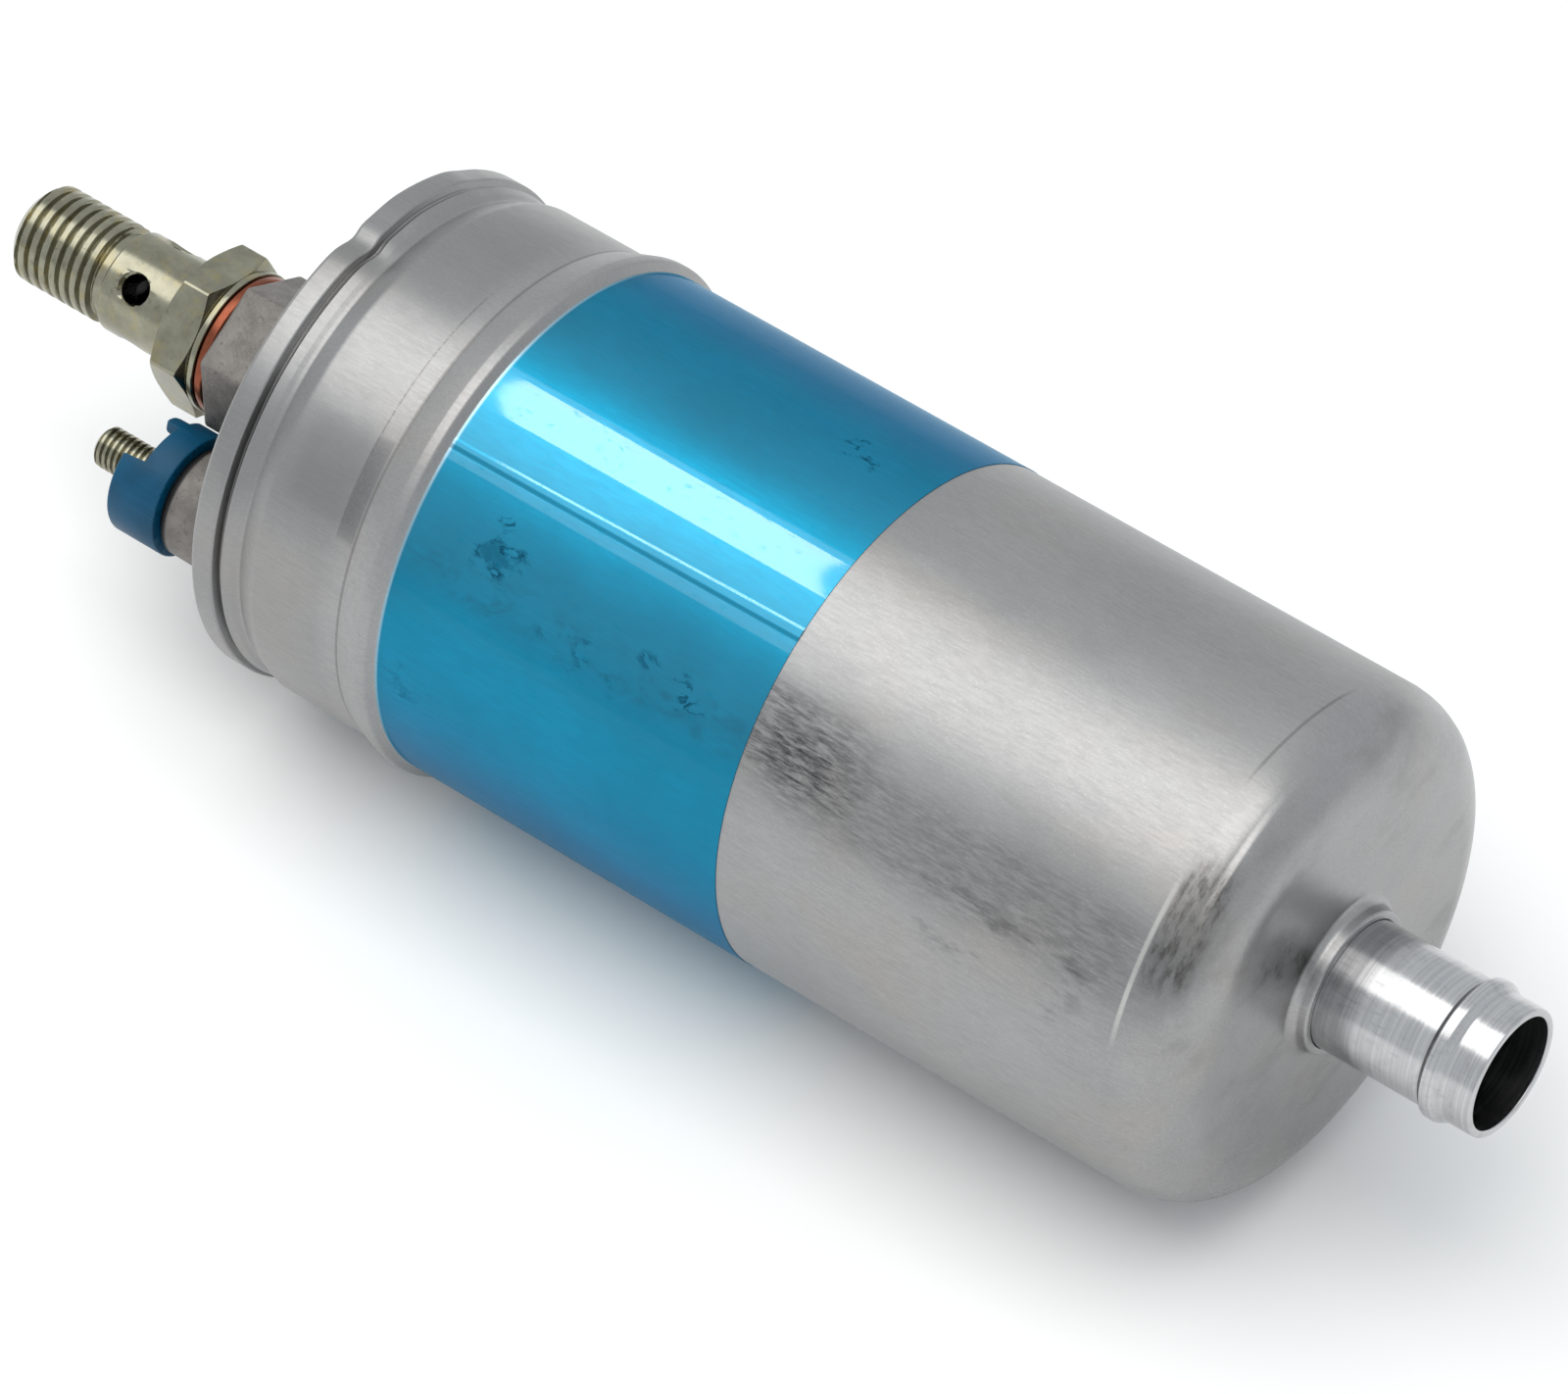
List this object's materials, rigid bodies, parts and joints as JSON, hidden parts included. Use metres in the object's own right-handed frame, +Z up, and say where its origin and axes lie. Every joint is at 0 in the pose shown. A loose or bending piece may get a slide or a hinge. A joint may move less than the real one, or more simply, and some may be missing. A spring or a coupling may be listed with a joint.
{
  "type": "electric fuel pump",
  "caption": "Inline electric fuel pump in a drawn aluminium can, with a hose nipple at the inlet, a banjo outlet with check valve, and a roller cell pump and motor inside.",
  "frame": {"origin": "on the pump's axis, at the middle of the straight wall that the body clamp holds", "axes": "+X along the axis towards the inlet nipple, -X towards the outlet valve, +Z up"},
  "size_m": [0.2, 0.0622, 0.0622],
  "materials": {
    "can_aluminium": "drawn, finely brushed",
    "label_film": "glossy film over metal",
    "nipple_aluminium": "turned bright",
    "cast_aluminium": "as cast, grainy",
    "plated_steel": "zinc plated, faint olive tint",
    "copper": "soft copper",
    "shroud_plastic": "satin blue",
    "black_rubber": "matte",
    "brown_plastic": "satin",
    "brass": "satin",
    "spring_steel": "drawn wire",
    "soft_steel": "oiled",
    "ferrite": "ground",
    "carbon": "graphite",
    "bronze": "sintered",
    "bright_steel": "ground bright",
    "strainer_mesh": "fine mesh"
  },
  "bodies": {
    "pump_body": {"housing_can": "can_aluminium", "label_band": "label_film", "inlet_nipple": "nipple_aluminium", "inlet_strainer": "strainer_mesh", "spacer_ring": "soft_steel", "end_cover": "cast_aluminium", "cover_seal": "black_rubber", "copper_washer": "copper", "valve_body": "plated_steel", "valve_seat": "bright_steel", "valve_spring": "spring_steel", "terminal_stud_a": "plated_steel", "terminal_stud_b": "plated_steel", "stud_insulators": "brown_plastic", "stud_seals": "black_rubber", "terminal_shroud": "shroud_plastic", "contact_strips": "brass", "brush_plate": "brown_plastic", "brush_spring_a": "spring_steel", "brush_spring_b": "spring_steel", "rear_bush": "bronze", "front_bush": "bronze", "flux_ring": "soft_steel", "magnet_north": "ferrite", "magnet_south": "ferrite", "magnet_clips": "spring_steel", "pressure_plate": "soft_steel", "cam_ring": "bright_steel", "suction_plate": "soft_steel", "pump_screws": "bright_steel", "relief_spring": "spring_steel", "relief_plug": "brass"},
    "armature": {"armature_shaft": "bright_steel", "armature_core": "soft_steel", "armature_winding": "copper", "commutator": "copper", "commutator_hub": "brown_plastic", "drive_coupling": "soft_steel", "pump_rotor": "soft_steel"},
    "roller_1": {"roller_1": "bright_steel"},
    "roller_2": {"roller_2": "bright_steel"},
    "roller_3": {"roller_3": "bright_steel"},
    "roller_4": {"roller_4": "bright_steel"},
    "roller_5": {"roller_5": "bright_steel"},
    "check_valve": {"valve_cone": "brass"},
    "relief_valve": {"relief_ball": "bright_steel"},
    "brush_a": {"brush_a": "carbon"},
    "brush_b": {"brush_b": "carbon"}
  },
  "joints": [
    {"name": "armature_spin", "type": "hinge", "parent": "pump_body", "child": "armature", "pos_m": [0, 0, 0], "axis": [1, 0, 0], "continuous": true},
    {"name": "roller_1_spin", "type": "hinge", "parent": "armature", "child": "roller_1", "pos_m": [0.0333, 0.0106, 0.0077], "axis": [1, 0, 0], "continuous": true},
    {"name": "roller_2_spin", "type": "hinge", "parent": "armature", "child": "roller_2", "pos_m": [0.0333, -0.00405, 0.01246], "axis": [1, 0, 0], "continuous": true},
    {"name": "roller_3_spin", "type": "hinge", "parent": "armature", "child": "roller_3", "pos_m": [0.0333, -0.0131, 0], "axis": [1, 0, 0], "continuous": true},
    {"name": "roller_4_spin", "type": "hinge", "parent": "armature", "child": "roller_4", "pos_m": [0.0333, -0.00405, -0.01246], "axis": [1, 0, 0], "continuous": true},
    {"name": "roller_5_spin", "type": "hinge", "parent": "armature", "child": "roller_5", "pos_m": [0.0333, 0.0106, -0.0077], "axis": [1, 0, 0], "continuous": true},
    {"name": "check_valve_lift", "type": "slide", "parent": "pump_body", "child": "check_valve", "axis": [-1, 0, 0], "range_m": [0, 0.002], "stiffness_N_per_m": 300, "springref_m": -0.002, "deforming": ["valve_spring"]},
    {"name": "relief_valve_lift", "type": "slide", "parent": "pump_body", "child": "relief_valve", "axis": [1, 0, 0], "range_m": [0, 0.0012], "stiffness_N_per_m": 800, "springref_m": -0.003, "deforming": ["relief_spring"]},
    {"name": "brush_a_slide", "type": "slide", "parent": "pump_body", "child": "brush_a", "axis": [-1, 0, 0], "range_m": [0, 0.002], "stiffness_N_per_m": 150, "springref_m": -0.004, "deforming": ["brush_spring_a"]},
    {"name": "brush_b_slide", "type": "slide", "parent": "pump_body", "child": "brush_b", "axis": [-1, 0, 0], "range_m": [0, 0.002], "stiffness_N_per_m": 150, "springref_m": -0.004, "deforming": ["brush_spring_b"]}
  ],
  "couplings": [
    {"joint": "roller_1_spin", "follows": "armature_spin", "ratio": -5.8667},
    {"joint": "roller_2_spin", "follows": "armature_spin", "ratio": -5.8667},
    {"joint": "roller_3_spin", "follows": "armature_spin", "ratio": -5.8667},
    {"joint": "roller_4_spin", "follows": "armature_spin", "ratio": -5.8667},
    {"joint": "roller_5_spin", "follows": "armature_spin", "ratio": -5.8667}
  ]
}
